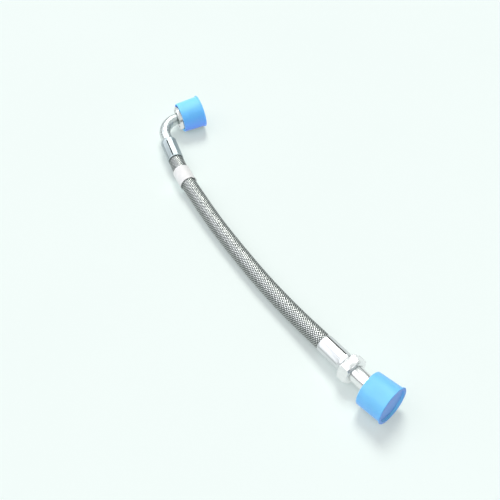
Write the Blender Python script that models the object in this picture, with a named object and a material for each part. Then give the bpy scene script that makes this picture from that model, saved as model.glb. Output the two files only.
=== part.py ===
# Turbo oil feed line: a steel-braided hose with a crimped 90 degree swivel
# end and a crimped straight swivel end, both closed by push-on dust caps.
# It lies on the floor plane z = 0. Units are metres, +X runs along the
# straight end's axis and +Z is up.

import math

import bmesh
import bpy
import numpy as np
from mathutils import Matrix, Vector

# Hose
HOSE_OD = 0.0138
BRAID_WALL = 0.0006
LINER_WALL = 0.00085
LAYER_GAP = 0.0003
CRIMP_SQUEEZE = 0.00086
SQUEEZE_LENGTH = 0.0034
SQUEEZE_BEFORE_MOUTH = 0.0022
HOSE_END_GAP = 0.0004

# Crimped ferrules
FERRULE_LENGTH = 0.0245
FERRULE_OD = 0.0144
FERRULE_WALL = 0.00095
FERRULE_MOUTH_WALL = 0.00042
FERRULE_EDGE = 0.0007
CRIMP_JAWS = 8
CRIMP_DEPTH = 0.00042
CRIMP_START = 0.0012
CRIMP_STOP = 0.0027
CRIMP_RUNOUT = 0.0009
RIDGE_HALF_ANGLE = 2.6
RIDGE_FOOT_ANGLE = 5.8
LIP_THICKNESS = 0.0016
LIP_BORE = 0.0100

# Barbed nipples, alike on both ends
NIPPLE_TIP_DEPTH = 0.0015
NIPPLE_BORE = 0.0056
BARB_COUNT = 5
BARB_PITCH = 0.0032
BARB_HEIGHT = 0.0004
BARB_FIT_GAP = 0.00030
COLLAR_THICKNESS = 0.0012
FIT_GAP = 0.0003

# Neck and nose of a 37 degree swivel end
NECK_OD = 0.0127
NECK_BORE = 0.0084
HEAD_OD = 0.0162
HEAD_INSET = 0.0004
HEAD_LENGTH = 0.0058
HEAD_EDGE = 0.0003
SEAT_ANGLE = 37.0
SEAT_MOUTH = 0.0150

# Straight stem
STEM_HEX = 0.0198
STEM_HEX_LENGTH = 0.0090
STEM_HEX_ROLL = 41.0
NECK_LENGTH = 0.0140
HEX_CHAMFER = 0.0007

# Elbow
TUBE_OD = 0.0105
TUBE_WALL = 0.0012
TUBE_SOCKET = 0.0045
BEND_RADIUS = 0.0171
ELBOW_TO_FERRULE = 0.0260
ELBOW_TO_NUT = 0.0167
ELBOW_ROLL = 3.5
SPIGOT_LENGTH = 0.0045

# Swivel nuts
NUT_LENGTH = 0.0165
NUT_HEX = 0.0210
NUT_COLLAR_OD = 0.0220
NUT_COLLAR_LENGTH = 0.0065
NUT_BACK_WALL = 0.0045
NUT_THREAD_STEP = 0.0014
NUT_MOUTH_CHAMFER = 0.0008
SWIVEL_GAP = 0.00035

# Thrust wires
WIRE_DIAMETER = 0.0012
WIRE_OPENING = 14.0
WIRE_GROOVE_WIDTH = 0.0018
WIRE_INSET = 0.0023

# Dust caps
CAP_SPARE = 0.0050
CAP_RIM_OD = 0.0274
CAP_BODY_END_OD = 0.0287
CAP_FLANGE_OD = 0.0304
CAP_FLANGE_THICKNESS = 0.0011
CAP_WALL = 0.00085
CAP_END_WALL = 0.0010
CAP_DISH_DEPTH = 0.0016
CAP_DISH_OD = 0.0264
CAP_RIM_ROUND = 0.0005

# Identification band on the hose
BAND_START = 0.0158
BAND_LENGTH = 0.0170
BAND_WALL = 0.00060

# Lay on the floor: plan places and headings in degrees from +X
STRAIGHT_CAP_RIM = (0.15473, -0.03475)
STRAIGHT_CAP_HEADING = 7.5
STRAIGHT_PIVOT = 0.0126
STRAIGHT_TILT = 4.0
STRAIGHT_NUT_INSET = 0.0006
ELBOW_CORNER = (-0.17128, 0.00521)
ELBOW_HEADING = 72.7
ELBOW_CAP_SKEW = 3.0
ELBOW_DROP = 0.0004
ELBOW_PIVOT = 0.0085
NUT_SHOWING = 0.0028

# Hand-chosen route of the hose between its ferrules: plan place and the
# height of the hose's underside over the floor
ROUTE = (
    (-0.1023, -0.0153, 0.00155),
    (-0.0837, -0.0187, 0.00098),
    (-0.0610, -0.0224, 0.00040),
    (-0.0370, -0.0258, 0.00005),
    (-0.0110, -0.0286, 0.00000),
    (0.0150, -0.0308, 0.00000),
    (0.0410, -0.0323, 0.00005),
    (0.0650, -0.0329, 0.00050),
    (0.0850, -0.0331, 0.00165),
)

# Facets
LINER_SIDES = 16
BRAID_SIDES = 20
TUBE_SIDES = 24
TURNED_SIDES = 36
HEX_SIDES = 30
NIPPLE_SIDES = 24
BEND_STEPS = 9
LINER_STEP = 0.0120
BRAID_STEP = 0.0090
WIRE_SIDES = 6
WIRE_STEPS = 24

# Sizes worked out from the ones above
CAP_LENGTH = NUT_LENGTH + CAP_SPARE
CAP_FOOT_SPAN = CAP_LENGTH - CAP_FLANGE_THICKNESS * 0.75 - CAP_RIM_ROUND
CAP_TILT = math.atan((CAP_FLANGE_OD - CAP_RIM_OD) / 2 / CAP_FOOT_SPAN)
COLLAR_END = FERRULE_LENGTH - LIP_THICKNESS - FIT_GAP
COLLAR_START = COLLAR_END - COLLAR_THICKNESS
HOSE_END_DEPTH = COLLAR_START - HOSE_END_GAP
BEHIND_FERRULE = FERRULE_LENGTH + FIT_GAP


def clear_scene():
    for obj in list(bpy.data.objects):
        bpy.data.objects.remove(obj, do_unlink=True)


def material(name, colour, roughness, metallic):
    mat = bpy.data.materials.new(name)
    mat.use_nodes = True
    shader = mat.node_tree.nodes["Principled BSDF"]
    shader.inputs["Base Color"].default_value = (*colour, 1.0)
    shader.inputs["Roughness"].default_value = roughness
    shader.inputs["Metallic"].default_value = metallic
    return mat


# Frames: local Z runs along an axis, local X points as nearly up as it can

def heading_axis(heading, tilt):
    plan = math.radians(heading)
    flat = math.cos(tilt)
    return Vector((math.cos(plan) * flat, math.sin(plan) * flat, math.sin(tilt)))


def axis_frame(origin, axis):
    forward = axis.normalized()
    side = forward.cross(Vector((0.0, 0.0, 1.0))).normalized()
    up = side.cross(forward)
    turn = Matrix((up, side, forward)).transposed().to_4x4()
    return Matrix.Translation(origin) @ turn


# Skins: closed bodies made of an outer and an inner stack of rings

def even_angles(sides):
    return [2 * math.pi * i / sides for i in range(sides)]


def radius_at(section, angle):
    return section(angle) if callable(section) else section


def ring_points(frame, section, angles):
    points = []
    for angle in angles:
        radius = radius_at(section, angle)
        local = Vector((radius * math.cos(angle), radius * math.sin(angle), 0.0))
        points.append(frame @ local)
    return points


def add_rings(mesh, rings):
    return [[mesh.verts.new(point) for point in ring] for ring in rings]


def join_rings(mesh, first, second):
    count = len(first)
    for i in range(count):
        j = (i + 1) % count
        mesh.faces.new((first[i], first[j], second[j], second[i]))


def skin_object(name, outer, inner, mat):
    mesh = bmesh.new()
    loops = add_rings(mesh, outer) + add_rings(mesh, list(reversed(inner)))
    for first, second in zip(loops, loops[1:] + loops[:1]):
        join_rings(mesh, first, second)
    bmesh.ops.recalc_face_normals(mesh, faces=mesh.faces)
    return mesh_object(name, mesh, mat)


def mesh_object(name, mesh, mat):
    data = bpy.data.meshes.new(name)
    mesh.to_mesh(data)
    mesh.free()
    data.shade_smooth()
    data.set_sharp_from_angle(angle=math.radians(28))
    data.materials.append(mat)
    obj = bpy.data.objects.new(name, data)
    bpy.context.scene.collection.objects.link(obj)
    return obj


def turned(name, outer, inner, mat, angles=None):
    angles = angles or even_angles(TURNED_SIDES)
    stacks = []
    for profile in (outer, inner):
        frames = [(Matrix.Translation((0.0, 0.0, z)), section) for z, section in profile]
        stacks.append([ring_points(frame, section, angles) for frame, section in frames])
    return skin_object(name, stacks[0], stacks[1], mat)


def swept(name, path, outer, inner, sides, mat):
    angles = even_angles(sides)
    stacks = []
    for profile in (outer, inner):
        stacks.append([ring_points(path.frame(s), section, angles) for s, section in profile])
    return skin_object(name, stacks[0], stacks[1], mat)


def place(obj, parent, offset=0.0):
    obj.parent = parent
    obj.location = (0.0, 0.0, offset)
    return obj


def empty(name, frame):
    obj = bpy.data.objects.new(name, None)
    obj.empty_display_size = HOSE_OD
    obj.matrix_world = frame
    bpy.context.scene.collection.objects.link(obj)
    return obj


# Paths

class Path:
    """A dense line through space, read by its length from its start."""

    def __init__(self, points):
        self.points = np.array([tuple(p) for p in points])
        steps = np.linalg.norm(np.diff(self.points, axis=0), axis=1)
        self.lengths = np.concatenate(([0.0], np.cumsum(steps)))
        self.length = float(self.lengths[-1])

    def point(self, s):
        ends = self.points[0] - self.points[1], self.points[-1] - self.points[-2]
        if s < 0.0:
            return Vector(self.points[0] + ends[0] / np.linalg.norm(ends[0]) * -s)
        if s > self.length:
            return Vector(self.points[-1] + ends[1] / np.linalg.norm(ends[1]) * (s - self.length))
        return Vector([float(np.interp(s, self.lengths, self.points[:, k])) for k in range(3)])

    def frame(self, s):
        reach = 0.0004
        return axis_frame(self.point(s), self.point(s + reach) - self.point(s - reach))


def smooth_line(points, start_axis, end_axis, samples=600):
    """Cubic spline through the points, with set directions at both ends."""
    knots = np.array([tuple(p) for p in points])
    gaps = np.linalg.norm(np.diff(knots, axis=0), axis=1)
    count = len(knots)
    system = np.zeros((count, count))
    right = np.zeros((count, 3))
    system[0, 0] = system[-1, -1] = 1.0
    right[0], right[-1] = start_axis, end_axis
    for i in range(1, count - 1):
        before, after = gaps[i - 1], gaps[i]
        system[i, i - 1:i + 2] = after, 2 * (before + after), before
        rise = after / before * (knots[i] - knots[i - 1])
        rise += before / after * (knots[i + 1] - knots[i])
        right[i] = 3 * rise
    slopes = np.linalg.solve(system, right)
    line = []
    per_span = samples // (count - 1)
    for i, gap in enumerate(gaps):
        for t in np.linspace(0.0, 1.0, per_span, endpoint=False):
            line.append(hermite(knots[i], knots[i + 1], slopes[i] * gap, slopes[i + 1] * gap, t))
    line.append(knots[-1])
    return line


def hermite(start, end, start_slope, end_slope, t):
    a = 2 * t**3 - 3 * t**2 + 1
    b = t**3 - 2 * t**2 + t
    c = -2 * t**3 + 3 * t**2
    d = t**3 - t**2
    return a * start + b * start_slope + c * end + d * end_slope


# Sections

def hexagon(across_flats, corner_limit, roll=0.0):
    """Radius of a hexagon whose corners are turned down to a circle."""
    def section(angle):
        off_flat = (angle - math.radians(roll)) % (math.pi / 3) - math.pi / 6
        return min(across_flats / 2 / math.cos(off_flat), corner_limit)
    return section


def crimped(flat_radius, ridge_radius, depth):
    """Radius of the jaw flats with narrow ridges left standing between."""
    jaw = 2 * math.pi / CRIMP_JAWS

    def section(angle):
        off_flat = abs((angle + jaw / 2) % jaw - jaw / 2)
        if off_flat > jaw / 2 - math.radians(RIDGE_HALF_ANGLE) - 1e-6:
            return ridge_radius
        flat = flat_radius / math.cos(min(off_flat, jaw / 2))
        return min(flat, ridge_radius) * depth + ridge_radius * (1 - depth)
    return section


def crimp_angles():
    jaw = 360.0 / CRIMP_JAWS
    ridge, foot = RIDGE_HALF_ANGLE, RIDGE_FOOT_ANGLE
    steps = (-jaw / 2 + ridge, -jaw / 2 + foot, 0.0, jaw / 2 - foot, jaw / 2 - ridge)
    return [math.radians(jaw * k + step) for k in range(CRIMP_JAWS) for step in steps]


# Pieces

def squeeze_profile(free_radius, total, step):
    """Stations and radii of one hose layer, squeezed inside both ferrules."""
    tight = free_radius - CRIMP_SQUEEZE
    inside = SQUEEZE_LENGTH - SQUEEZE_BEFORE_MOUTH
    mouths = HOSE_END_DEPTH, total - HOSE_END_DEPTH
    left = [(0.0, tight), (mouths[0] - inside, tight), (mouths[0] + SQUEEZE_BEFORE_MOUTH, free_radius)]
    right = [(mouths[1] - SQUEEZE_BEFORE_MOUTH, free_radius), (mouths[1] + inside, tight), (total, tight)]
    spans = max(1, round((right[0][0] - left[-1][0]) / step))
    middle = np.linspace(left[-1][0], right[0][0], spans + 1)[1:-1]
    return left + [(float(s), free_radius) for s in middle] + right


def hose_layer(name, path, outer_radius, wall, sides, step, mat):
    outer = squeeze_profile(outer_radius, path.length, step)
    inner = squeeze_profile(outer_radius - wall, path.length, step)
    return swept(name, path, outer, inner, sides, mat)


def band(name, path, mat):
    start = HOSE_END_DEPTH + BAND_START
    inner_radius = HOSE_OD / 2 + FIT_GAP
    stations = [start + BAND_LENGTH * k / 3 for k in range(4)]
    outer = [(s, inner_radius + BAND_WALL) for s in stations]
    inner = [(s, inner_radius) for s in stations]
    return swept(name, path, outer, inner, TUBE_SIDES, mat)


def ferrule(name, mat):
    """Crimped sleeve; its mouth is at z = 0 and the hose comes from -Z."""
    full = FERRULE_OD / 2
    bore = full - FERRULE_WALL
    flats = crimped(full - CRIMP_DEPTH, full, 1.0)
    crimp_end = FERRULE_LENGTH - CRIMP_STOP
    outer = [
        (0.0, full - FERRULE_EDGE / 2),
        (FERRULE_EDGE, full),
        (CRIMP_START, full),
        (CRIMP_START + CRIMP_RUNOUT, flats),
        (crimp_end - CRIMP_RUNOUT, flats),
        (crimp_end, full),
        (FERRULE_LENGTH - FERRULE_EDGE, full),
        (FERRULE_LENGTH, full - FERRULE_EDGE / 2),
    ]
    inner = [
        (0.0, full - FERRULE_MOUTH_WALL - FERRULE_EDGE / 2),
        (SQUEEZE_LENGTH - SQUEEZE_BEFORE_MOUTH, bore),
        (FERRULE_LENGTH - LIP_THICKNESS, bore),
        (FERRULE_LENGTH - LIP_THICKNESS, LIP_BORE / 2),
        (FERRULE_LENGTH, LIP_BORE / 2),
    ]
    return turned(name, outer, inner, mat, crimp_angles())


def liner_tight_bore():
    liner_outer = HOSE_OD / 2 - BRAID_WALL - LAYER_GAP
    return liner_outer - LINER_WALL - CRIMP_SQUEEZE


def nipple_profile():
    """Barbed outline from the tip to the groove that the ferrule locks in."""
    crest = liner_tight_bore() * math.cos(math.pi / LINER_SIDES) - BARB_FIT_GAP / 2
    root = crest - BARB_HEIGHT
    tip = NIPPLE_TIP_DEPTH
    profile = [(tip, root - BARB_HEIGHT), (tip + BARB_HEIGHT, root)]
    for k in range(BARB_COUNT):
        foot = tip + BARB_HEIGHT + BARB_PITCH * k
        profile.append((foot + BARB_PITCH * 0.80, crest))
        profile.append((foot + BARB_PITCH * 0.88, root))
    collar = FERRULE_OD / 2 - FERRULE_WALL - FIT_GAP
    groove = LIP_BORE / 2 - FIT_GAP
    profile += [(COLLAR_START, root), (COLLAR_START, collar)]
    profile += [(COLLAR_END, collar), (COLLAR_END, groove)]
    return profile


def nose_profiles(nut_back):
    """Outer and bore outlines of the swivel head, wire groove included."""
    head = HEAD_OD / 2
    mouth = SEAT_MOUTH / 2
    depth = (mouth - NECK_BORE / 2) / math.tan(math.radians(SEAT_ANGLE))
    start = nut_back + HEAD_INSET
    end = nut_back + NUT_BACK_WALL + HEAD_LENGTH
    edge = (head - mouth) / 2
    outer = [(start, head - HEAD_EDGE), (start + HEAD_EDGE, head)]
    outer += wire_groove(nut_back + WIRE_INSET, head, groove_depth())
    outer += [(end - edge, head), (end, head - edge)]
    inner = [(end - depth, NECK_BORE / 2), (end, mouth)]
    return outer, inner


def wire_groove(centre, radius, depth):
    half = WIRE_GROOVE_WIDTH / 2
    floor = radius - depth
    start, end = centre - half, centre + half
    return [(start, radius), (start, floor), (end, floor), (end, radius)]


def groove_depth():
    return (WIRE_DIAMETER - SWIVEL_GAP) / 2 + FIT_GAP


def straight_stem(name, mat):
    """Barbed nipple, hexagon, neck and nose turned from one bar."""
    neck = NECK_OD / 2
    hexagon_start = BEHIND_FERRULE
    hexagon_end = hexagon_start + STEM_HEX_LENGTH
    corner = STEM_HEX / 2 / math.cos(math.pi / 6)
    face = STEM_HEX / 2 - HEX_CHAMFER / 2
    chamfered = hexagon(STEM_HEX, STEM_HEX / 2, STEM_HEX_ROLL)
    full = hexagon(STEM_HEX, corner, STEM_HEX_ROLL)
    nut_back = hexagon_end + NECK_LENGTH + STRAIGHT_NUT_INSET
    head_outer, head_inner = nose_profiles(nut_back)
    outer = nipple_profile() + [
        (hexagon_start, LIP_BORE / 2 - FIT_GAP),
        (hexagon_start, face),
        (hexagon_start + HEX_CHAMFER / 2, chamfered),
        (hexagon_start + HEX_CHAMFER * 1.5, full),
        (hexagon_end - HEX_CHAMFER * 1.5, full),
        (hexagon_end - HEX_CHAMFER / 2, chamfered),
        (hexagon_end, face),
        (hexagon_end, neck),
    ]
    outer += [(nut_back + HEAD_INSET, neck)] + head_outer
    inner = [(NIPPLE_TIP_DEPTH, NIPPLE_BORE / 2), (hexagon_start, NIPPLE_BORE / 2)]
    inner += [(hexagon_start + HEX_CHAMFER, NECK_BORE / 2)] + head_inner
    angles = [angle + math.radians(STEM_HEX_ROLL) for angle in even_angles(HEX_SIDES)]
    return turned(name, outer, inner, mat, angles)


def elbow_nipple(name, mat):
    """Barbed nipple whose spigot is brazed into the bent tube."""
    spigot = TUBE_OD / 2 - TUBE_WALL - FIT_GAP
    end = BEHIND_FERRULE + SPIGOT_LENGTH
    outer = nipple_profile() + [
        (BEHIND_FERRULE - FIT_GAP, LIP_BORE / 2 - FIT_GAP),
        (BEHIND_FERRULE - FIT_GAP, spigot),
        (end, spigot),
    ]
    inner = [(NIPPLE_TIP_DEPTH, NIPPLE_BORE / 2), (end, NIPPLE_BORE / 2)]
    return turned(name, outer, inner, mat, even_angles(NIPPLE_SIDES))


def elbow_nose(name, mat):
    """Swivel head with the socket of the tube; z = 0 at the nut's back."""
    socket = TUBE_OD / 2 + FIT_GAP
    floor = HEAD_INSET + TUBE_SOCKET
    outer, seat = nose_profiles(0.0)
    inner = [(HEAD_INSET, socket), (floor, socket), (floor, NECK_BORE / 2)] + seat
    return turned(name, outer, inner, mat)


def swivel_nut(name, mat):
    """Nut with a round back collar; z = 0 at its back face."""
    collar = NUT_COLLAR_OD / 2
    corner = NUT_HEX / 2 / math.cos(math.pi / 6)
    full = hexagon(NUT_HEX, corner)
    chamfered = hexagon(NUT_HEX, NUT_HEX / 2)
    bore = HEAD_OD / 2 + SWIVEL_GAP
    thread = (HEAD_OD + NUT_THREAD_STEP) / 2
    outer = [
        (0.0, collar - HEX_CHAMFER),
        (HEX_CHAMFER, collar),
        (NUT_COLLAR_LENGTH, collar),
        (NUT_COLLAR_LENGTH + HEX_CHAMFER, full),
        (NUT_LENGTH - HEX_CHAMFER * 1.5, full),
        (NUT_LENGTH - HEX_CHAMFER / 2, chamfered),
        (NUT_LENGTH, NUT_HEX / 2 - HEX_CHAMFER / 2),
    ]
    inner = [(0.0, bore)]
    inner += wire_groove(WIRE_INSET, bore, -groove_depth())
    inner += [
        (NUT_BACK_WALL, bore),
        (NUT_BACK_WALL, thread),
        (NUT_LENGTH - NUT_MOUTH_CHAMFER, thread),
        (NUT_LENGTH, thread + NUT_MOUTH_CHAMFER),
    ]
    return turned(name, outer, inner, mat, even_angles(HEX_SIDES))


def thrust_wire(name, mat):
    """Round wire ring, open where it was fed in; z = 0 at its centre."""
    radius = HEAD_OD / 2 + SWIVEL_GAP / 2
    sweep = math.radians(360.0 - WIRE_OPENING)
    mesh = bmesh.new()
    loops = []
    for k in range(WIRE_STEPS + 1):
        turn = Matrix.Rotation(sweep * k / WIRE_STEPS, 4, 'Z')
        spin = turn @ Matrix.Translation((radius, 0.0, 0.0)) @ Matrix.Rotation(math.pi / 2, 4, 'X')
        points = ring_points(spin, WIRE_DIAMETER / 2, even_angles(WIRE_SIDES))
        loops.append([mesh.verts.new(point) for point in points])
    for first, second in zip(loops, loops[1:]):
        join_rings(mesh, first, second)
    mesh.faces.new(loops[0])
    mesh.faces.new(loops[-1])
    bmesh.ops.recalc_face_normals(mesh, faces=mesh.faces)
    return mesh_object(name, mesh, mat)


def dust_cap(name, mat):
    """Soft push-on cap; z = 0 at its open rim, flange at its closed end."""
    rim, body_end = CAP_RIM_OD / 2, CAP_BODY_END_OD / 2
    flange = CAP_FLANGE_OD / 2
    flange_back = CAP_LENGTH - CAP_FLANGE_THICKNESS
    dish_floor = CAP_LENGTH - CAP_DISH_DEPTH
    inside_end = dish_floor - CAP_END_WALL
    slope = (body_end - rim) / flange_back
    edge = CAP_FLANGE_THICKNESS / 4
    mesh = bmesh.new()
    outline = [
        (inside_end, rim - CAP_WALL + slope * inside_end),
        (0.0, rim - CAP_WALL),
        (0.0, rim - CAP_RIM_ROUND),
        (CAP_RIM_ROUND / 3, rim - CAP_RIM_ROUND / 3),
        (CAP_RIM_ROUND, rim),
        (flange_back, body_end),
        (flange_back, flange - edge),
        (flange_back + edge, flange),
        (CAP_LENGTH - edge, flange),
        (CAP_LENGTH, flange - edge),
        (CAP_LENGTH, CAP_DISH_OD / 2),
        (dish_floor, CAP_DISH_OD / 2 - CAP_DISH_DEPTH / 3),
    ]
    angles = even_angles(TURNED_SIDES)
    frames = [(Matrix.Translation((0.0, 0.0, z)), radius) for z, radius in outline]
    rings = [ring_points(frame, radius, angles) for frame, radius in frames]
    loops = add_rings(mesh, rings)
    for first, second in zip(loops, loops[1:]):
        join_rings(mesh, first, second)
    mesh.faces.new(loops[0])
    mesh.faces.new(loops[-1])
    bmesh.ops.recalc_face_normals(mesh, faces=mesh.faces)
    return mesh_object(name, mesh, mat)


def elbow_tube(name, path, mat):
    """Bent tube from the ferrule into the socket of the nose."""
    bend_start = ELBOW_TO_FERRULE - FIT_GAP - BEND_RADIUS
    bend_length = math.pi / 2 * BEND_RADIUS
    bend = [bend_start + bend_length * k / BEND_STEPS for k in range(BEND_STEPS + 1)]
    stations = [0.0] + bend + [path.length]
    outer = [(s, TUBE_OD / 2) for s in stations]
    inner = [(s, TUBE_OD / 2 - TUBE_WALL) for s in stations]
    return swept(name, path, outer, inner, TUBE_SIDES, mat)


# Assembly

def cap_rest_height(distance):
    """Height of a resting cap's axis at a distance from its rim."""
    past_foot = distance - CAP_RIM_ROUND
    return CAP_RIM_OD / 2 * math.cos(CAP_TILT) + past_foot * math.sin(CAP_TILT)


def straight_frames():
    """Frames of the resting cap and of the straight fitting at its mouth."""
    cap_axis = heading_axis(STRAIGHT_CAP_HEADING, CAP_TILT)
    rim = Vector((*STRAIGHT_CAP_RIM, cap_rest_height(0.0)))
    pivot = rim + cap_axis * STRAIGHT_PIVOT
    axis = heading_axis(0.0, math.radians(STRAIGHT_TILT))
    behind = STRAIGHT_PIVOT + NECK_LENGTH + STEM_HEX_LENGTH + BEHIND_FERRULE
    return axis_frame(rim, cap_axis), axis_frame(pivot - axis * behind, axis)


def elbow_frames():
    """Frames of the elbow's corner along its nut, its leg and its cap."""
    cap_rim = ELBOW_TO_NUT + NUT_SHOWING
    height = cap_rest_height(ELBOW_PIVOT) - (ELBOW_PIVOT + cap_rim) * math.sin(CAP_TILT)
    corner = Vector((*ELBOW_CORNER, height - ELBOW_DROP))
    mouth_axis = heading_axis(ELBOW_HEADING, CAP_TILT)
    side = mouth_axis.cross(Vector((0.0, 0.0, 1.0))).normalized()
    roll = Matrix.Rotation(math.radians(ELBOW_ROLL), 3, mouth_axis)
    leg_axis = roll @ side
    pivot = corner + mouth_axis * (cap_rim + ELBOW_PIVOT) + Vector((0.0, 0.0, ELBOW_DROP))
    cap_axis = heading_axis(ELBOW_HEADING + ELBOW_CAP_SKEW, CAP_TILT)
    cap = axis_frame(pivot - cap_axis * ELBOW_PIVOT, cap_axis)
    return axis_frame(corner, mouth_axis), axis_frame(corner, leg_axis), cap


def axis_of(frame):
    return frame.to_3x3().col[2].copy()


def hose_path(elbow_mouth, elbow_axis, straight_mouth, straight_axis):
    """Centre line from the hose end in one ferrule to the end in the other."""
    points = [elbow_mouth]
    points += [Vector((x, y, HOSE_OD / 2 + lift)) for x, y, lift in ROUTE]
    points.append(straight_mouth)
    line = smooth_line(points, elbow_axis, straight_axis)
    line = [Vector((x, y, max(z, HOSE_OD / 2))) for x, y, z in line]
    first = elbow_mouth - elbow_axis * HOSE_END_DEPTH
    last = straight_mouth + straight_axis * HOSE_END_DEPTH
    return Path([first] + line + [last])


def elbow_path(corner, leg_axis, mouth_axis, end):
    """Centre line of the bent tube, from the ferrule to the nose."""
    centre = corner + (leg_axis + mouth_axis) * BEND_RADIUS
    points = [corner + leg_axis * (ELBOW_TO_FERRULE - FIT_GAP)]
    for k in range(10 * BEND_STEPS + 1):
        angle = math.pi / 2 * k / (10 * BEND_STEPS)
        points.append(centre - (mouth_axis * math.cos(angle) + leg_axis * math.sin(angle)) * BEND_RADIUS)
    points.append(corner + mouth_axis * end)
    return Path(points)


def build_straight_end(cap_frame, fitting_frame, mats):
    root = empty("straight_end", fitting_frame)
    nut_back = BEHIND_FERRULE + STEM_HEX_LENGTH + NECK_LENGTH + STRAIGHT_NUT_INSET
    place(ferrule("straight_ferrule", mats["ferrule"]), root)
    place(straight_stem("straight_stem", mats["fitting"]), root)
    place(swivel_nut("straight_swivel_nut", mats["nut"]), root, nut_back)
    place(thrust_wire("straight_thrust_wire", mats["wire"]), root, nut_back + WIRE_INSET)
    dust_cap("straight_cap", mats["cap"]).matrix_world = cap_frame


def build_elbow_end(mouth_frame, leg_frame, cap_frame, mats):
    corner, mouth_axis = mouth_frame.translation, axis_of(mouth_frame)
    leg_axis = axis_of(leg_frame)
    tube_end = ELBOW_TO_NUT + HEAD_INSET + TUBE_SOCKET - FIT_GAP
    path = elbow_path(corner, leg_axis, mouth_axis, tube_end)
    elbow_tube("elbow_tube", path, mats["tube"])
    mouth = corner + leg_axis * (ELBOW_TO_FERRULE + FERRULE_LENGTH)
    leg_root = empty("elbow_leg", axis_frame(mouth, -leg_axis))
    place(ferrule("elbow_ferrule", mats["ferrule"]), leg_root)
    place(elbow_nipple("elbow_nipple", mats["fitting"]), leg_root)
    mouth_root = empty("elbow_mouth", mouth_frame)
    place(elbow_nose("elbow_nose", mats["fitting"]), mouth_root, ELBOW_TO_NUT)
    place(swivel_nut("elbow_swivel_nut", mats["nut"]), mouth_root, ELBOW_TO_NUT)
    place(thrust_wire("elbow_thrust_wire", mats["wire"]), mouth_root, ELBOW_TO_NUT + WIRE_INSET)
    dust_cap("elbow_cap", mats["cap"]).matrix_world = cap_frame
    return mouth, leg_axis


def build_hose(path, mats):
    braid_outer = HOSE_OD / 2
    liner_outer = braid_outer - BRAID_WALL - LAYER_GAP
    hose_layer("hose_braid", path, braid_outer, BRAID_WALL, BRAID_SIDES, BRAID_STEP, mats["braid"])
    hose_layer("hose_liner", path, liner_outer, LINER_WALL, LINER_SIDES, LINER_STEP, mats["liner"])
    band("id_band", path, mats["band"])


def build():
    clear_scene()
    mats = {
        "braid": material("stainless_braid", (0.50, 0.51, 0.51), 0.38, 1.0),
        "liner": material("liner_plastic", (0.86, 0.86, 0.83), 0.45, 0.0),
        "ferrule": material("crimped_steel", (0.80, 0.82, 0.82), 0.28, 1.0),
        "fitting": material("plated_fitting", (0.84, 0.85, 0.84), 0.24, 1.0),
        "tube": material("plated_tube", (0.78, 0.80, 0.80), 0.20, 1.0),
        "nut": material("plated_nut", (0.82, 0.83, 0.83), 0.26, 1.0),
        "wire": material("spring_wire", (0.55, 0.55, 0.56), 0.35, 1.0),
        "cap": material("blue_polyethylene", (0.10, 0.50, 0.86), 0.36, 0.0),
        "band": material("white_band", (0.90, 0.91, 0.92), 0.60, 0.0),
    }
    straight_cap, straight_fitting = straight_frames()
    elbow_mouth, elbow_leg, elbow_cap = elbow_frames()
    build_straight_end(straight_cap, straight_fitting, mats)
    mouth, leg_axis = build_elbow_end(elbow_mouth, elbow_leg, elbow_cap, mats)
    path = hose_path(mouth, leg_axis, straight_fitting.translation, axis_of(straight_fitting))
    build_hose(path, mats)


build()
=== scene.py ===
"""Looks of the turbo oil feed line: woven braid, plated ends and dust caps."""
import math

import bpy
import numpy as np
from mathutils import Matrix, Vector


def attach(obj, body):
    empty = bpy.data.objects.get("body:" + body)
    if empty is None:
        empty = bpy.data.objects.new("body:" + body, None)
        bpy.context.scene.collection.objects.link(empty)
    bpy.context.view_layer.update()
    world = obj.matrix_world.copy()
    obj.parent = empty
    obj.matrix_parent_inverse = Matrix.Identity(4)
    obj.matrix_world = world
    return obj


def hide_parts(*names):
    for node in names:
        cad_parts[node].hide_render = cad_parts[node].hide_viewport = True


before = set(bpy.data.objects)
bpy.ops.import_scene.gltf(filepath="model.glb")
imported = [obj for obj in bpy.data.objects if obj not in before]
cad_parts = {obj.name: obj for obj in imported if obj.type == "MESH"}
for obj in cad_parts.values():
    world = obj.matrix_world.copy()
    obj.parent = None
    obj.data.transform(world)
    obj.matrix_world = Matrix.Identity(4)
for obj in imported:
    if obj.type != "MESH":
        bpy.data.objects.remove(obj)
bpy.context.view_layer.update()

# The photo's view

CAMERA_PLACE = (0.29149, -0.24441, 0.45135)
CAMERA_HEADING = (-0.7912, 0.6115, 0.0)
CAMERA_DOWN = 50.5
CAMERA_LENS = 50.4
CAMERA_SENSOR = 36.0
CAMERA_NEAR = 0.01
VIEW_RIGHT = (0.6115, 0.7912, 0.0)
UP = (0.0, 0.0, 1.0)

# Lamps: heading, elevation and spread are in degrees

MAIN_LIGHT = {
    "heading": 140,
    "elevation": 54,
    "spread": 24,
    "power": 1.60,
    "colour": (1.0, 0.99, 0.94),
}
FILL_LIGHT = {
    "heading": 232,
    "elevation": 50,
    "spread": 60,
    "power": 1.45,
    "colour": (0.99, 0.97, 1.02),
    "shadow": False,
}
SKY_STRENGTH = 0.27
SKY_COLOUR = (0.98, 0.96, 1.0, 1.0)

# Scales of surface detail, in patches or lines a metre

PLATING_PATCHES = 420.0
PLATING_GRAIN = 2600.0
PLATING_LATHE = 9000.0
WIRE_PATCHES = 300.0
CORE_GRAIN = 3000.0
CAP_PATCHES = 130.0
CAP_GRAIN = 900.0
CAP_LATHE = 2500.0
BAND_PATCHES = 240.0
LINER_PATCHES = 200.0
FLOOR_PATCHES = 6.0

# Floor: its colours, its share of plain glow and the painted shadow that dims it close to the line

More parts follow.
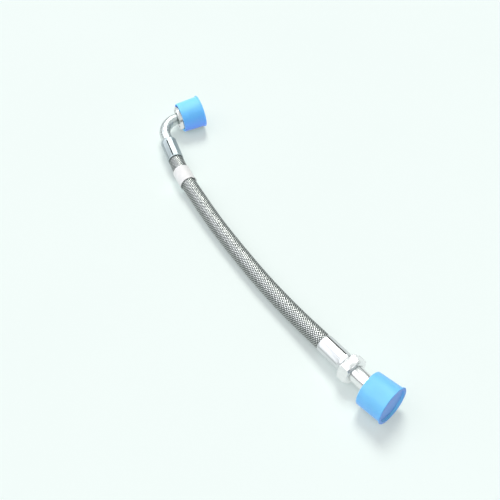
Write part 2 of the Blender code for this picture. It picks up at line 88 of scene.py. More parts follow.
FLOOR_HALF = 3.0
FLOOR_SHINE = {"Roughness": 0.9, "Specular IOR Level": 0.0}
FLOOR_TINTS = [(0.3, (0.872, 0.968, 0.936)), (0.7, (0.882, 0.978, 0.946))]
FLOOR_COLOUR = (0.905, 0.998, 0.972, 1.0)
FLOOR_GLOW = 0.18
CONTACT_REACH = 0.012
CONTACT_SAMPLES = 8
CONTACT_PAINTED_SHADOW_TINTS = [
    (0.10, (0.50, 0.56, 0.56)),
    (0.45, (0.94, 0.95, 0.95)),
    (0.90, (1.0, 1.0, 1.0)),
]
CONTACT_PAINTED_SHADOW_MIRRORED = [
    (0.15, (0.20, 0.25, 0.24)),
    (0.42, (0.80, 0.85, 0.84)),
    (0.75, (0.95, 1.0, 0.99)),
]
CONTACT_MIRRORED_SHARE = 0.85

# The room that metal mirrors: from the left of the photo's view to its right,
# dark a little above the horizon, and one colour from FROM to TO up

MIRRORED = [
    (0.0, (0.98, 1.0, 1.0)),
    (0.36, (0.90, 0.93, 0.94)),
    (0.52, (0.86, 0.91, 0.91)),
    (0.66, (0.74, 0.79, 0.78)),
    (0.82, (0.78, 0.83, 0.82)),
    (1.0, (0.92, 0.95, 0.94)),
]
MIRRORED_LOW = [(0.0, 0.90), (0.05, 0.45), (0.28, 0.35), (0.38, 1.0), (0.60, 1.0)]
MIRRORED_ABOVE = (0.72, 0.75, 0.75, 1.0)
MIRRORED_ABOVE_FROM = 0.45
MIRRORED_ABOVE_TO = 0.85

# The hose: its route repeats the one in part.py

HOSE_OD = 0.0138
HOSE_END_DEPTH = 0.0210
ELBOW_MOUTH = (-0.1230865, -0.0095612, 0.0087049)
ELBOW_AXIS = (0.954326, -0.292499, -0.060880)
STRAIGHT_MOUTH = (0.1069349, -0.0331099, 0.0103462)
STRAIGHT_AXIS = (0.997564, 0.0, 0.069756)
ROUTE = [
    (-0.1023, -0.0153, 0.00155),
    (-0.0837, -0.0187, 0.00098),
    (-0.0610, -0.0224, 0.00040),
    (-0.0370, -0.0258, 0.00005),
    (-0.0110, -0.0286, 0.0),
    (0.0150, -0.0308, 0.0),
    (0.0410, -0.0323, 0.00005),
    (0.0650, -0.0329, 0.00050),
    (0.0850, -0.0331, 0.00165),
]
ROUTE_SAMPLES = 600
CORD_POINTS = 37
SQUEEZE = 0.00086
SQUEEZE_OUTSIDE = 0.0022
SQUEEZE_INSIDE = 0.0012

# The weave: strands wind both ways and go over and under at each crossing

STRANDS = 16
STRAND_LEAD = 0.0301
STRAND_WIDTH = 0.00138
STRAND_DROP = 0.00014
STRAND_ACROSS = np.array([-1.0, -0.72, 0.0, 0.72, 1.0])
STRAND_CROWN = np.array([1.0, 0.28, 0.0, 0.28, 1.0])
STRAND_MAP_HALF = 0.49
CROSSING = STRAND_LEAD / (2 * STRANDS)
WEAVE_RADIUS = 0.00672
WEAVE_HEIGHT = 0.00016
WEAVE_STEEPNESS = 1.6
WEAVE_STEPS = 4
WEAVE_RUN_IN = 0.0030

# The dark layer under the weave: a tube painted nearly black as the shade in the weave's gaps

CORE_RADIUS = 0.00640
CORE_WALL = 0.00022
CORE_SIDES = 40
CORE_STATIONS = 180
CORE_END_GAP = 0.0005
CORE_CRISP_ANGLE = 50
CORE_SHINE = {"Metallic": 0.7, "Roughness": 0.6}
CORE_PAINTED_SHADE_TINTS = [(0.3, (0.035, 0.037, 0.042)), (0.7, (0.09, 0.095, 0.10))]

# Painted highlight and shade on the wires: by height in the weave, across a strand and a wire

WIRES_IN_STRAND = 7
STRAND_PAINTED_DIP_SHADE = [
    (0.0, (0.02, 0.024, 0.024)),
    (0.50, (0.06, 0.07, 0.07)),
    (0.78, (0.35, 0.375, 0.365)),
    (0.97, (0.84, 0.87, 0.855)),
]
STRAND_PAINTED_EDGE_SHADE = [
    (0.0, (0.05, 0.06, 0.06)),
    (0.24, (0.72, 0.73, 0.73)),
    (0.5, (1.0, 1.0, 1.0)),
    (0.76, (0.72, 0.73, 0.73)),
    (1.0, (0.05, 0.06, 0.06)),
]
WIRE_PAINTED_GROOVE_SHADE = [(0.0, (0.55, 0.56, 0.56)), (0.6, (1.0, 1.0, 1.0))]
STRAND_VALUES = (0.86, 1.08)
WIRE_GLOSS = (0.24, 0.36)

# Plating, and the painted shade with grime that darkens its crevices

BRIGHT = (0.86, 0.88, 0.88)
SATIN = (0.73, 0.76, 0.77)
SHADED_SATIN = (0.50, 0.57, 0.59)
TUBE_PLATING = (0.68, 0.74, 0.74)
SPRING_STEEL = (0.55, 0.55, 0.56)
PLATING_DULL = 0.93
PLATING_GLOSS = (0.8, 1.25)
CREVICE_REACH = 0.0025
CREVICE_SAMPLES = 6
CREVICE_SHADE_AND_GRIME_TINTS = [
    (0.30, (0.13, 0.15, 0.14)),
    (0.55, (0.58, 0.61, 0.60)),
    (0.85, (1.0, 1.0, 1.0)),
]

# Painted dark reflection on the crimp: brightness across one jaw and along the sleeve,
# and the one ridge whose flank is painted dark

CRIMP_JAWS = 8
CRIMP_PAINTED_DARK_REFLECTION = [
    (0.36, 1.0),
    (0.41, 0.7),
    (0.45, 1.0),
    (0.49, 1.0),
    (0.52, 0.03),
    (0.69, 0.04),
    (0.73, 1.0),
]
CRIMP_START = 0.0014
CRIMP_END = 0.0218
CRIMP_ALONG = [(0.0, 0.0), (CRIMP_START / CRIMP_END, 1.0), (0.94, 1.0), (1.0, 0.0)]
PAINTED_REFLECTION_FAINT = 0.3
PAINTED_DARK_RIDGE = -1.0

# Plastic of the caps, with painted light and shade: from the side away from the light to the side
# towards it

CAP_PLASTIC = {
    "IOR": 1.51,
    "Specular IOR Level": 0.5,
    "Subsurface Weight": 0.2,
    "Subsurface Radius": (0.25, 0.7, 1.0),
    "Subsurface Scale": 0.002,
}
CAP_PAINTED_LIGHT_FROM = (-0.32, -0.30, 0.90)
CAP_PAINTED_LIGHT_TINTS = [
    (0.12, (0.09, 0.20, 0.74)),
    (0.40, (0.13, 0.37, 0.92)),
    (0.66, (0.14, 0.49, 0.97)),
    (0.94, (0.19, 0.59, 0.95)),
]
CAP_MOTTLE = [(0.3, (0.93, 0.95, 0.97)), (0.7, (1.0, 1.0, 1.0))]
CAP_GLOSS = (0.34, 0.50)
# painted reflection: reflected and bounced rays see the caps in a calm grey-blue, not in their colour
CAP_PAINTED_FOR_BOUNCE = (0.42, 0.55, 0.64, 1.0)
CAP_PAINTED_FOR_BOUNCE_SHARE = 0.85
# painted glow: the caps emit light though they are no lamp
STRAIGHT_CAP_PAINTED_GLOW = 0.12
ELBOW_CAP_PAINTED_GLOW = 0.38

# The white band and the inner tube

BAND_TINTS = [(0.3, (0.88, 0.90, 0.89)), (0.7, (0.94, 0.955, 0.945))]
LINER_PLASTIC = {
    "Roughness": 0.45,
    "Subsurface Weight": 0.2,
    "Subsurface Scale": 0.002,
}
LINER_TINTS = [(0.3, (0.80, 0.80, 0.76)), (0.7, (0.88, 0.88, 0.85))]

# Edges of the CAD nodes: width of the broken edge, and the angles in degrees

STEM_EDGE = 0.00018
NUT_EDGE = 0.00015
CAP_EDGE = 0.00015
FERRULE_EDGE = 0.00006
NO_EDGE = 0.0
EDGE_ANGLE = 28
CRISP_ANGLE = 38
WELD_GAP = 0.000002

# Axes of the turned pieces

ELBOW_LEG_AXIS = tuple(-v for v in ELBOW_AXIS)
STRAIGHT_TURN = (0.99756, 0.0, 0.06976)
ELBOW_TURN = (0.29656, 0.95213, 0.07414)
STRAIGHT_CAP_TURN = (0.98872, 0.13017, 0.07414)
ELBOW_CAP_TURN = (0.24632, 0.96635, 0.07414)


# Camera

def add_camera():
    data = bpy.data.cameras.new("photo_view")
    data.lens = CAMERA_LENS
    data.sensor_width = CAMERA_SENSOR
    data.clip_start = CAMERA_NEAR
    down = math.radians(CAMERA_DOWN)
    across = Vector(CAMERA_HEADING).normalized()
    look = across * math.cos(down) - Vector(UP) * math.sin(down)
    right = look.cross(Vector(UP)).normalized()
    turn = Matrix((right, right.cross(look), -look)).transposed()
    camera = bpy.data.objects.new("photo_view", data)
    camera.matrix_world = Matrix.Translation(CAMERA_PLACE) @ turn.to_4x4()
    bpy.context.collection.objects.link(camera)
    bpy.context.scene.camera = camera


# The hose's centre line

def hermite(start, end, start_slope, end_slope, t):
    a = 2 * t**3 - 3 * t**2 + 1
    b = t**3 - 2 * t**2 + t
    c = -2 * t**3 + 3 * t**2
    d = t**3 - t**2
    return a * start + b * start_slope + c * end + d * end_slope


def spline_slopes(knots, gaps, start_axis, end_axis):
    """Slopes of the cubic spline through the knots, with set directions at both ends."""
    count = len(knots)
    system = np.zeros((count, count))
    right = np.zeros((count, 3))
    system[0, 0] = system[-1, -1] = 1.0
    right[0], right[-1] = start_axis, end_axis
    for i in range(1, count - 1):
        before, after = gaps[i - 1], gaps[i]
        system[i, i - 1:i + 2] = after, 2 * (before + after), before
        rise = after / before * (knots[i] - knots[i - 1])
        rise += before / after * (knots[i + 1] - knots[i])
        right[i] = 3 * rise
    return np.linalg.solve(system, right)


def smooth_line(points, start_axis, end_axis):
    """Points along the cubic spline, evenly many between each two knots."""
    knots = np.array(points)
    gaps = np.linalg.norm(np.diff(knots, axis=0), axis=1)
    slopes = spline_slopes(knots, gaps, start_axis, end_axis)
    line = []
    per_span = ROUTE_SAMPLES // len(gaps)
    for i, gap in enumerate(gaps):
        for t in np.linspace(0.0, 1.0, per_span, endpoint=False):
            line.append(hermite(knots[i], knots[i + 1], slopes[i] * gap, slopes[i + 1] * gap, t))
    line.append(knots[-1])
    return np.array(line)


class HoseLine:
    """The hose's centre line, read by the length from its elbow end."""

    def __init__(self):
        knots = [ELBOW_MOUTH]
        knots += [(x, y, HOSE_OD / 2 + lift) for x, y, lift in ROUTE]
        knots.append(STRAIGHT_MOUTH)
        line = smooth_line(knots, ELBOW_AXIS, STRAIGHT_AXIS)
        line[:, 2] = np.maximum(line[:, 2], HOSE_OD / 2)
        first = line[0] - np.array(ELBOW_AXIS) * HOSE_END_DEPTH
        last = line[-1] + np.array(STRAIGHT_AXIS) * HOSE_END_DEPTH
        self.points = np.vstack([first, line, last])
        steps = np.linalg.norm(np.diff(self.points, axis=0), axis=1)
        self.lengths = np.concatenate(([0.0], np.cumsum(steps)))
        self.length = float(self.lengths[-1])
        self.ways = np.diff(self.points, axis=0) / steps[:, None]
        self.ways_at = (self.lengths[1:] + self.lengths[:-1]) / 2

    def centre(self, s):
        columns = [np.interp(s, self.lengths, self.points[:, k]) for k in range(3)]
        return np.stack(columns, axis=-1)

    def heading(self, s):
        columns = [np.interp(s, self.ways_at, self.ways[:, k]) for k in range(3)]
        way = np.stack(columns, axis=-1)
        return way / np.linalg.norm(way, axis=-1, keepdims=True)

    def surface(self, s, angle, radius):
        """Points at a radius and angle round the line, all arrays of one shape."""
        ahead = self.heading(s)
        side = np.cross(ahead, UP)
        side /= np.linalg.norm(side, axis=-1, keepdims=True)
        up = np.cross(side, ahead)
        out = np.cos(angle)[..., None] * up + np.sin(angle)[..., None] * side
        return self.centre(s) + radius[..., None] * out

    def squeezed(self, s):
        """How much smaller the hose's radius is, towards and in the ferrules."""
        depth = HOSE_END_DEPTH + SQUEEZE_OUTSIDE - np.minimum(s, self.length - s)
        return SQUEEZE * np.clip(depth / (SQUEEZE_OUTSIDE + SQUEEZE_INSIDE), 0.0, 1.0)


# Meshes

def add_object(name, mesh, body):
    obj = bpy.data.objects.new(name, mesh)
    bpy.context.collection.objects.link(obj)
    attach(obj, body)
    return obj


def grid_faces(rows, columns, first=0, closed=False):
    """Quads of a grid of points that is stored row by row."""
    steps = columns if closed else columns - 1
    row, column = np.meshgrid(np.arange(rows - 1), np.arange(steps), indexing="ij")
    a = row * columns + column
    b = row * columns + (column + 1) % columns
    quads = np.stack([a, b, b + columns, a + columns], axis=-1)
    return quads.reshape(-1, 4) + first


def smooth_mesh(name, points, faces):
    mesh = bpy.data.meshes.new(name)
    mesh.from_pydata(points.reshape(-1, 3).tolist(), [], faces.tolist())
    mesh.shade_smooth()
    return mesh


def strand_steps(line):
    """Lengths along the hose at which every strand has a row of points."""
    reach = HOSE_END_DEPTH - WEAVE_RUN_IN
    crossings = round((line.length - 2 * reach) / CROSSING)
    return reach + np.arange(crossings * WEAVE_STEPS + 1) * CROSSING / WEAVE_STEPS


def strand_points(line, s, strand, turn):
    """Crowned ribbons that wind one way, by strand, by step and across the strand."""
    slope = math.atan2(math.tau * WEAVE_RADIUS, STRAND_LEAD)
    offset = STRAND_ACROSS * STRAND_WIDTH / 2
    angle = math.tau * (turn * s / STRAND_LEAD + strand / STRANDS)
    angle = angle + math.cos(slope) * offset / WEAVE_RADIUS
    wave = np.tanh(WEAVE_STEEPNESS * np.cos(math.pi * s / CROSSING))
    wave = wave / math.tanh(WEAVE_STEEPNESS)
    radius = WEAVE_RADIUS + turn * WEAVE_HEIGHT * wave - STRAND_DROP * STRAND_CROWN
    along = np.broadcast_to(s - turn * math.sin(slope) * offset, angle.shape)
    radius = np.broadcast_to(radius, angle.shape) - line.squeezed(along)
    return line.surface(along, angle, radius)


def add_strand_map(mesh, along, side):
    """Texture places: u counts crossings along a strand, v the strands and across one."""
    corners = np.empty(len(mesh.loops), dtype=np.int32)
    mesh.loops.foreach_get("vertex_index", corners)
    places = np.stack([along.reshape(-1)[corners], side.reshape(-1)[corners]], axis=-1)
    mesh.uv_layers.new(name="strand").data.foreach_set("uv", places.reshape(-1))


def braid_strands(name, line, turn):
    """All strands that wind one way, as flat ribbons that go over and under."""
    s = strand_steps(line)[None, :, None]
    strand = np.arange(STRANDS)[:, None, None]
    points = strand_points(line, s, strand, turn)
    shape = points.shape[:3]
    rows, columns = shape[1:]
    faces = [grid_faces(rows, columns, k * rows * columns) for k in range(STRANDS)]
    mesh = smooth_mesh(name, points, np.concatenate(faces))
    along = np.broadcast_to(s / CROSSING + (turn < 0), shape)
    side = np.broadcast_to(strand + 0.5 + STRAND_MAP_HALF * STRAND_ACROSS, shape)
    add_strand_map(mesh, along, side)
    return add_object(name, mesh, "line")


def braid_core(name, line):
    """The dark wire layer under the top strands, a tube over the hose's whole length, painted dark as
    the shade in the weave's gaps.
    """
    s = np.linspace(CORE_END_GAP, line.length - CORE_END_GAP, CORE_STATIONS)
    angle = np.linspace(0.0, math.tau, CORE_SIDES, endpoint=False)
    s_grid, angle_grid = np.meshgrid(s, angle, indexing="ij")
    outer_radius = CORE_RADIUS - line.squeezed(s_grid)
    outer = line.surface(s_grid, angle_grid, outer_radius)
    inner = line.surface(s_grid, angle_grid, outer_radius - CORE_WALL)
    rings = np.concatenate([outer, inner[::-1]])
    faces = grid_faces(len(rings) + 1, CORE_SIDES, closed=True)
    faces = faces[:, ::-1] % (len(rings) * CORE_SIDES)
    mesh = smooth_mesh(name, rings, faces)
    mesh.set_sharp_from_angle(angle=math.radians(CORE_CRISP_ANGLE))
    return add_object(name, mesh, "line")


# Node trees

def grey(stops):
    return [(at, (value, value, value)) for at, value in stops]


class Nodes:
    """Adds nodes to a tree. A source is a node with one of its outputs."""

    def __init__(self, tree):
        self.tree = tree

    def feed(self, node, label, value):
        """Links a source to a socket, or sets the socket to a plain value."""
        if isinstance(value, tuple) and isinstance(value[0], bpy.types.Node):
            source, output = value
            self.tree.links.new(source.outputs[output], node.inputs[label])
        else:
            node.inputs[label].default_value = value

    def add(self, kind, sockets=None, **features):
        node = self.tree.nodes.new(kind)
        for key, value in features.items():
            setattr(node, key, value)
        for label, value in (sockets or {}).items():
            self.feed(node, label, value)
        return node

    def place(self, kind):
        return self.add("ShaderNodeTexCoord"), kind

    def ray(self, kind):
        return self.add("ShaderNodeLightPath"), kind

    def hollow(self, reach, samples):
        """How open a spot is to its surroundings, within a reach."""
        return self.add("ShaderNodeAmbientOcclusion", {"Distance": reach}, samples=samples), "AO"

    def noise(self, scale, detail=3.0):
        """Noise over the object, with its scale in patches a metre."""
        sockets = {"Scale": scale, "Detail": detail, "Vector": self.place("Object")}
        return self.add("ShaderNodeTexNoise", sockets), "Fac"

    def lathe_lines(self, axis, scale):
        """Noise that changes only along an axis, like the marks of turning."""
        sockets = {"Scale": scale, "Detail": 2.0, "W": self.towards(self.place("Object"), axis)}
        return self.add("ShaderNodeTexNoise", sockets, noise_dimensions="1D"), "Fac"

    def ramp(self, value, stops):
        """Colour by a value, from stops of a place and a colour."""
        node = self.add("ShaderNodeValToRGB", {"Fac": value})
        marks = node.color_ramp.elements
        while len(marks) < len(stops):
            marks.new(0.5)
        for mark, (place, colour) in zip(marks, stops):
            mark.position = place
            mark.color = (*colour, 1.0)
        return node, "Color"

    def math(self, operation, *values):
        return self.add("ShaderNodeMath", dict(enumerate(values)), operation=operation), "Value"

    def mix(self, share, first, second, blend="MIX"):
        """Two colours mixed. A Mix node has its colours at sockets 6, 7 and output 2."""
        sockets = {0: share, 6: first, 7: second}
        return self.add("ShaderNodeMix", sockets, data_type="RGBA", blend_type=blend), 2

    def multiply(self, first, second):
        return self.mix(1.0, first, second, "MULTIPLY")

    def mix_shaders(self, share, first, second):
        return self.add("ShaderNodeMixShader", {0: share, 1: first, 2: second}), 0

    def towards(self, vector, direction):
        """How far a vector points along a fixed direction."""
        sockets = {0: vector, 1: direction}
        return self.add("ShaderNodeVectorMath", sockets, operation="DOT_PRODUCT"), "Value"

    def spread(self, value, low, high, start=0.0, end=1.0):
        """Turns a value from start to end into the range from low to high."""
        sockets = {"Value": value, "From Min": start, "From Max": end}
        sockets.update({"To Min": low, "To Max": high})
        return self.add("ShaderNodeMapRange", sockets), "Result"

    def bump(self, height, strength, distance, under=None):
        sockets = {"Height": height, "Strength": strength, "Distance": distance}
        if under is not None:
            sockets["Normal"] = under
        return self.add("ShaderNodeBump", sockets), "Normal"


class Shader(Nodes):
    """The nodes of one material, round its main shader."""

    def __init__(self, name, sockets):
        self.material = bpy.data.materials.new(name)
        self.material.use_nodes = True
        super().__init__(self.material.node_tree)
        self.surface = self.tree.nodes["Principled BSDF"]
        self.dress(sockets)

    def dress(self, sockets):
        """Sets the main shader's sockets and returns the material."""
        for label, value in sockets.items():
            self.feed(self.surface, label, value)
        return self.material


# Materials

def crimp_painted_reflection(shader, mouth, axis):
    """Painted dark reflection on a crimped sleeve: thin lines between the jaws, one of them painted
    dark.
    """
    forward = Vector(axis).normalized()
    side = forward.cross(Vector(UP)).normalized()
    parts = []
    for way in (side.cross(forward), side, forward):
        along = shader.towards(shader.place("Object"), tuple(way))
        parts.append(shader.math("SUBTRACT", along, way.dot(Vector(mouth))))
    up_part, side_part, forward_part = parts
    angle = shader.math("ARCTAN2", side_part, up_part)
    turns = shader.math("MULTIPLY", angle, CRIMP_JAWS / math.tau)
    line = shader.ramp(shader.math("FRACT", turns), grey(CRIMP_PAINTED_DARK_REFLECTION))
    chosen = shader.math("COMPARE", shader.math("FLOOR", turns), PAINTED_DARK_RIDGE, 0.1)
    strength = shader.spread(chosen, PAINTED_REFLECTION_FAINT, 1.0)
    reach = shader.spread(forward_part, 0.0, 1.0, end=CRIMP_END)
    inside = shader.ramp(reach, grey(CRIMP_ALONG))
    return shader.mix(shader.math("MULTIPLY", inside, strength), (1.0, 1.0, 1.0, 1.0), line)


def plated_material(name, axis, colour, roughness, mouth=None):
    """Plating over turned steel with faint lathe lines, painted shade with grime in its crevices, and
    a painted dark reflection on the crimp if it has a mouth.
    """
    shader = Shader(name, {"Metallic": 1.0})
    patches = shader.noise(PLATING_PATCHES, detail=4.0)
    dull = [c * PLATING_DULL for c in colour]
    # painted shade with grime: the plating darkens where ambient occlusion finds a crevice
    crevice_shade_and_grime = shader.ramp(shader.hollow(CREVICE_REACH, CREVICE_SAMPLES), CREVICE_SHADE_AND_GRIME_TINTS)
    tint = shader.multiply(shader.ramp(patches, [(0.3, dull), (0.7, colour)]), crevice_shade_and_grime)
    # painted dark reflection: dark lines on the flanks of the crimp ridges
    if mouth is not None:
        tint = shader.multiply(tint, crimp_painted_reflection(shader, mouth, axis))
    smooth, rough = PLATING_GLOSS
    turned = shader.bump(shader.lathe_lines(axis, PLATING_LATHE), strength=0.10, distance=0.00002)
    grain = shader.noise(PLATING_GRAIN, detail=2.0)
    return shader.dress({
        "Base Color": tint,
        "Roughness": shader.spread(patches, roughness * smooth, roughness * rough),
        "Normal": shader.bump(grain, strength=0.05, distance=0.00003, under=turned),
    })


def braid_material():
    """Fine wires side by side in each strand, painted bright on top and painted dark where it dips, at
    its edges and between its wires.
    """
    shader = Shader("woven_wire", {"Metallic": 1.0})
    parts = shader.add("ShaderNodeSeparateXYZ", {"Vector": shader.place("UV")})
    side = shader.math("FRACT", (parts, "Y"))
    wires = shader.math("SINE", shader.math("MULTIPLY", side, WIRES_IN_STRAND * math.pi))
    height = shader.math("ABSOLUTE", wires)
    phase = shader.math("COSINE", shader.math("MULTIPLY", (parts, "X"), math.pi))
    # painted highlight and shade: light where a strand rides over, dark where it dips under, at its
    # edges and in the grooves
    lift = shader.ramp(shader.spread(phase, 0.0, 1.0, start=-1.0), STRAND_PAINTED_DIP_SHADE)
    shape = shader.multiply(lift, shader.ramp(side, STRAND_PAINTED_EDGE_SHADE))
    wires_painted_shade = shader.multiply(shape, shader.ramp(height, WIRE_PAINTED_GROOVE_SHADE))
    number = {"W": shader.math("FLOOR", (parts, "Y"))}
    chance = shader.add("ShaderNodeTexWhiteNoise", number, noise_dimensions="1D")
    value = shader.spread((chance, "Value"), *STRAND_VALUES)
    varied = shader.add("ShaderNodeHueSaturation", {"Color": wires_painted_shade, "Value": value})
    return shader.dress({
        "Base Color": (varied, "Color"),
        "Roughness": shader.spread(shader.noise(WIRE_PATCHES), *WIRE_GLOSS),
        "Normal": shader.bump(height, strength=0.35, distance=0.00005),
    })


def core_material():
    """Dull wire seen in the gaps of the weave, painted dark as the shade there."""
    shader = Shader("shaded_wire", CORE_SHINE)
    grain = shader.noise(CORE_GRAIN)
    return shader.dress({
        "Base Color": shader.ramp(grain, CORE_PAINTED_SHADE_TINTS),
        "Normal": shader.bump(grain, strength=0.4, distance=0.0001),
    })


def cap_material(name, axis, glow):
    """Semi-gloss blue polyethylene, painted pale on the side towards the light, painted deep blue
    below and given a painted glow.
    """
    shader = Shader(name, CAP_PLASTIC)
    flow = shader.noise(CAP_PATCHES, detail=4.0)
    # painted light and shade: the colour follows how far the surface faces a fixed light direction
    painted_light_facing = shader.towards((shader.add("ShaderNodeNewGeometry"), "Normal"), CAP_PAINTED_LIGHT_FROM)
    tint = shader.ramp(shader.spread(painted_light_facing, 0.0, 1.0, start=-1.0), CAP_PAINTED_LIGHT_TINTS)
    tint = shader.multiply(tint, shader.ramp(flow, CAP_MOTTLE))
    # painted reflection: reflected and bounced rays get the calm grey-blue and no glow
    bounced = shader.math("MAXIMUM", shader.ray("Is Glossy Ray"), shader.ray("Is Diffuse Ray"))
    painted_bounce_share = shader.math("MULTIPLY", bounced, CAP_PAINTED_FOR_BOUNCE_SHARE)
    turned = shader.bump(shader.lathe_lines(axis, CAP_LATHE), strength=0.04, distance=0.00006)
    grain = shader.noise(CAP_GRAIN, detail=2.0)
    return shader.dress({
        "Base Color": shader.mix(painted_bounce_share, tint, CAP_PAINTED_FOR_BOUNCE),
        # painted glow: the cap emits its painted tint to camera rays only
        "Emission Color": shader.mix(bounced, tint, (0.0, 0.0, 0.0, 1.0)),
        "Emission Strength": glow,
        "Roughness": shader.spread(flow, *CAP_GLOSS),
        "Normal": shader.bump(grain, strength=0.06, distance=0.00008, under=turned),
    })


def band_material():
    """Blank white film with a soft matt surface."""
    shader = Shader("white_film", {"Roughness": 0.5})
    patches = shader.noise(BAND_PATCHES, detail=4.0)
    return shader.dress({
        "Base Color": shader.ramp(patches, BAND_TINTS),
        "Normal": shader.bump(patches, strength=0.25, distance=0.0002),
    })


def liner_material():
    """Waxy plastic tube."""
    shader = Shader("waxy_tube", LINER_PLASTIC)
    return shader.dress({"Base Color": shader.ramp(shader.noise(LINER_PATCHES), LINER_TINTS)})


def floor_material():
    """Pale floor with a painted shadow close to the line, painted darker still where metal mirrors it.
    """
    shader = Shader("pale_floor", FLOOR_SHINE)
    tint = shader.ramp(shader.noise(FLOOR_PATCHES), FLOOR_TINTS)
    # painted shadow: ambient occlusion darkens the floor near the line, in its colour and in what
    # metal mirrors
    contact = shader.hollow(CONTACT_REACH, CONTACT_SAMPLES)
    shader.dress({"Base Color": shader.multiply(tint, shader.ramp(contact, CONTACT_PAINTED_SHADOW_TINTS))})
    painted_shadow_mirrored = shader.ramp(contact, CONTACT_PAINTED_SHADOW_MIRRORED)
    mirrored = shader.add("ShaderNodeEmission", {"Color": painted_shadow_mirrored, "Strength": 1.0})
    share = shader.math("MULTIPLY", shader.ray("Is Glossy Ray"), CONTACT_MIRRORED_SHARE)
    lit = shader.mix_shaders(share, (shader.surface, "BSDF"), (mirrored, "Emission"))
    glow = shader.add("ShaderNodeEmission", {"Color": FLOOR_COLOUR})
    lifted = shader.mix_shaders(FLOOR_GLOW, lit, (glow, "Emission"))
    shader.feed(shader.tree.nodes["Material Output"], "Surface", lifted)
    return shader.material


# CAD nodes

def smooth_rounds():
    """Nodes for a modifier that shades a mesh smooth, in place of the normals it came with."""
    tree = bpy.data.node_groups.new("smooth_rounds", "GeometryNodeTree")
    for way in ("INPUT", "OUTPUT"):
        tree.interface.new_socket("Mesh", in_out=way, socket_type="NodeSocketGeometry")
    nodes = Nodes(tree)
    source = nodes.add("NodeGroupInput"), "Mesh"
    sockets = {"Mesh": source, "Remove Custom": True, "Edge Sharpness": False, "Face Sharpness": False}
    smooth = nodes.add("GeometryNodeSetMeshNormal", sockets, mode="SHARPNESS")
    nodes.add("NodeGroupOutput", {"Mesh": (smooth, "Mesh")})
    return tree


def finish_node(name, mat, edge, rounds):
    """A CAD node's material, and modifiers for smooth rounds and slightly broken edges."""
    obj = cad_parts[name]
    obj.material_slots[0].material = mat
    obj.modifiers.new("smooth_rounds", "NODES").node_group = rounds
    weld = obj.modifiers.new("joined_facets", "WELD")
    weld.merge_threshold = WELD_GAP
    if edge:
        bevel = obj.modifiers.new("broken_edges", "BEVEL")
        bevel.width = edge
        bevel.segments = 2
        bevel.limit_method = "ANGLE"
        bevel.angle_limit = math.radians(EDGE_ANGLE)
    split = obj.modifiers.new("crisp_edges", "EDGE_SPLIT")
    split.split_angle = math.radians(CRISP_ANGLE)


def metal_finishes():
    straight = plated_material("straight_plating", STRAIGHT_TURN, BRIGHT, roughness=0.20)
    elbow = plated_material("elbow_plating", ELBOW_TURN, BRIGHT, roughness=0.20)
    tube = plated_material("tube_plating", ELBOW_AXIS, TUBE_PLATING, roughness=0.27)
    wire = plated_material("drawn_wire", STRAIGHT_TURN, SPRING_STEEL, roughness=0.35)
    straight_crimp = plated_material("straight_crimp", STRAIGHT_AXIS, SATIN,
                                     roughness=0.38, mouth=STRAIGHT_MOUTH)
    elbow_crimp = plated_material("elbow_crimp", ELBOW_LEG_AXIS, SHADED_SATIN,
                                  roughness=0.52, mouth=ELBOW_MOUTH)
    return [
        ("straight_stem", straight, STEM_EDGE),
        ("straight_swivel_nut", straight, NUT_EDGE),
        ("elbow_swivel_nut", elbow, NUT_EDGE),
        ("elbow_nose", elbow, NO_EDGE),
        ("elbow_nipple", elbow, NO_EDGE),
        ("elbow_tube", tube, NO_EDGE),
        ("straight_ferrule", straight_crimp, FERRULE_EDGE),
        ("elbow_ferrule", elbow_crimp, FERRULE_EDGE),
        ("straight_thrust_wire", wire, NO_EDGE),
        ("elbow_thrust_wire", wire, NO_EDGE),
    ]


def plastic_finishes():
    straight = cap_material("straight_cap_plastic", STRAIGHT_CAP_TURN, STRAIGHT_CAP_PAINTED_GLOW)
    elbow = cap_material("elbow_cap_plastic", ELBOW_CAP_TURN, ELBOW_CAP_PAINTED_GLOW)
    return [
        ("straight_cap", straight, CAP_EDGE),
        ("elbow_cap", elbow, CAP_EDGE),
        ("id_band", band_material(), NO_EDGE),
        ("hose_liner", liner_material(), NO_EDGE),
    ]


def finish_nodes():
    rounds = smooth_rounds()
    for name, mat, edge in metal_finishes() + plastic_finishes():
        finish_node(name, mat, edge, rounds)


# The hose's visible pieces

def add_strands(line):
    wire = braid_material()
    strands = []
    for name, turn in (("strands_right", 1), ("strands_left", -1)):
        strand = braid_strands(name, line, turn)
        strand.data.materials.append(wire)
        strands.append(strand)
    return strands


def add_hose(line):
    core = braid_core("braid_core", line)
    core.data.materials.append(core_material())
    strands = add_strands(line)
    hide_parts("hose_braid")
    route = line.centre(np.linspace(0.0, line.length, CORD_POINTS))


# Floor, room and light

def add_floor():
    mesh = bpy.data.meshes.new("floor")
    half = FLOOR_HALF
    corners = [(-half, -half, 0.0), (half, -half, 0.0), (half, half, 0.0), (-half, half, 0.0)]
    mesh.from_pydata(corners, [], [(0, 1, 2, 3)])
    mesh.materials.append(floor_material())
    floor = bpy.data.objects.new("floor", mesh)
    bpy.context.collection.objects.link(floor)


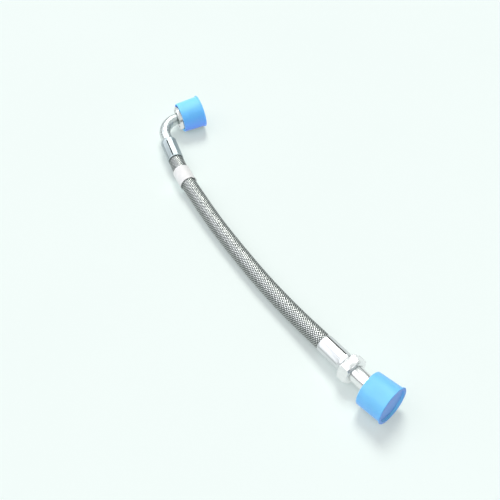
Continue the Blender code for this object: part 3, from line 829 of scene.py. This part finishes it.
def mirrored_room(sky):
    """The colour that metal mirrors in each direction."""
    way = sky.place("Generated")
    across = sky.spread(sky.towards(way, VIEW_RIGHT), 0.0, 1.0, start=-1.0)
    up = sky.towards(way, UP)
    wall = sky.multiply(sky.ramp(across, MIRRORED), sky.ramp(up, grey(MIRRORED_LOW)))
    above = sky.spread(up, 0.0, 1.0, start=MIRRORED_ABOVE_FROM, end=MIRRORED_ABOVE_TO)
    return sky.mix(above, wall, MIRRORED_ABOVE)


def add_world():
    """Even pale light, a room for what metal mirrors, and a backdrop like the floor."""
    world = bpy.data.worlds.new("studio")
    bpy.context.scene.world = world
    world.use_nodes = True
    world.node_tree.nodes.clear()
    sky = Nodes(world.node_tree)
    backgrounds = []
    for colour, strength in (
        (SKY_COLOUR, SKY_STRENGTH),
        (mirrored_room(sky), 1.0),
        (FLOOR_COLOUR, 1.0),
    ):
        sockets = {"Color": colour, "Strength": strength}
        backgrounds.append((sky.add("ShaderNodeBackground", sockets), "Background"))
    even, room, backdrop = backgrounds
    unseen = sky.mix_shaders(sky.ray("Is Glossy Ray"), even, room)
    seen = sky.mix_shaders(sky.ray("Is Camera Ray"), unseen, backdrop)
    sky.add("ShaderNodeOutputWorld", {"Surface": seen})


def add_soft_sun(name, heading, elevation, spread, power, colour, shadow=True):
    """Even light from a wide patch of sky, so the floor is the same all over."""
    data = bpy.data.lights.new(name, "SUN")
    data.angle = math.radians(spread)
    data.energy = power
    data.color = colour
    data.use_shadow = shadow
    turn, rise = math.radians(heading), math.radians(elevation)
    across = Vector((math.cos(turn), math.sin(turn), 0.0))
    out = across * math.cos(rise) + Vector(UP) * math.sin(rise)
    light = bpy.data.objects.new(name, data)
    light.rotation_euler = out.to_track_quat("Z", "Y").to_euler()
    bpy.context.collection.objects.link(light)


def add_light():
    add_world()
    add_soft_sun("main_light", **MAIN_LIGHT)
    add_soft_sun("fill_light", **FILL_LIGHT)
    bpy.context.scene.view_settings.view_transform = "Standard"


add_camera()
add_hose(HoseLine())
finish_nodes()
add_floor()
add_light()
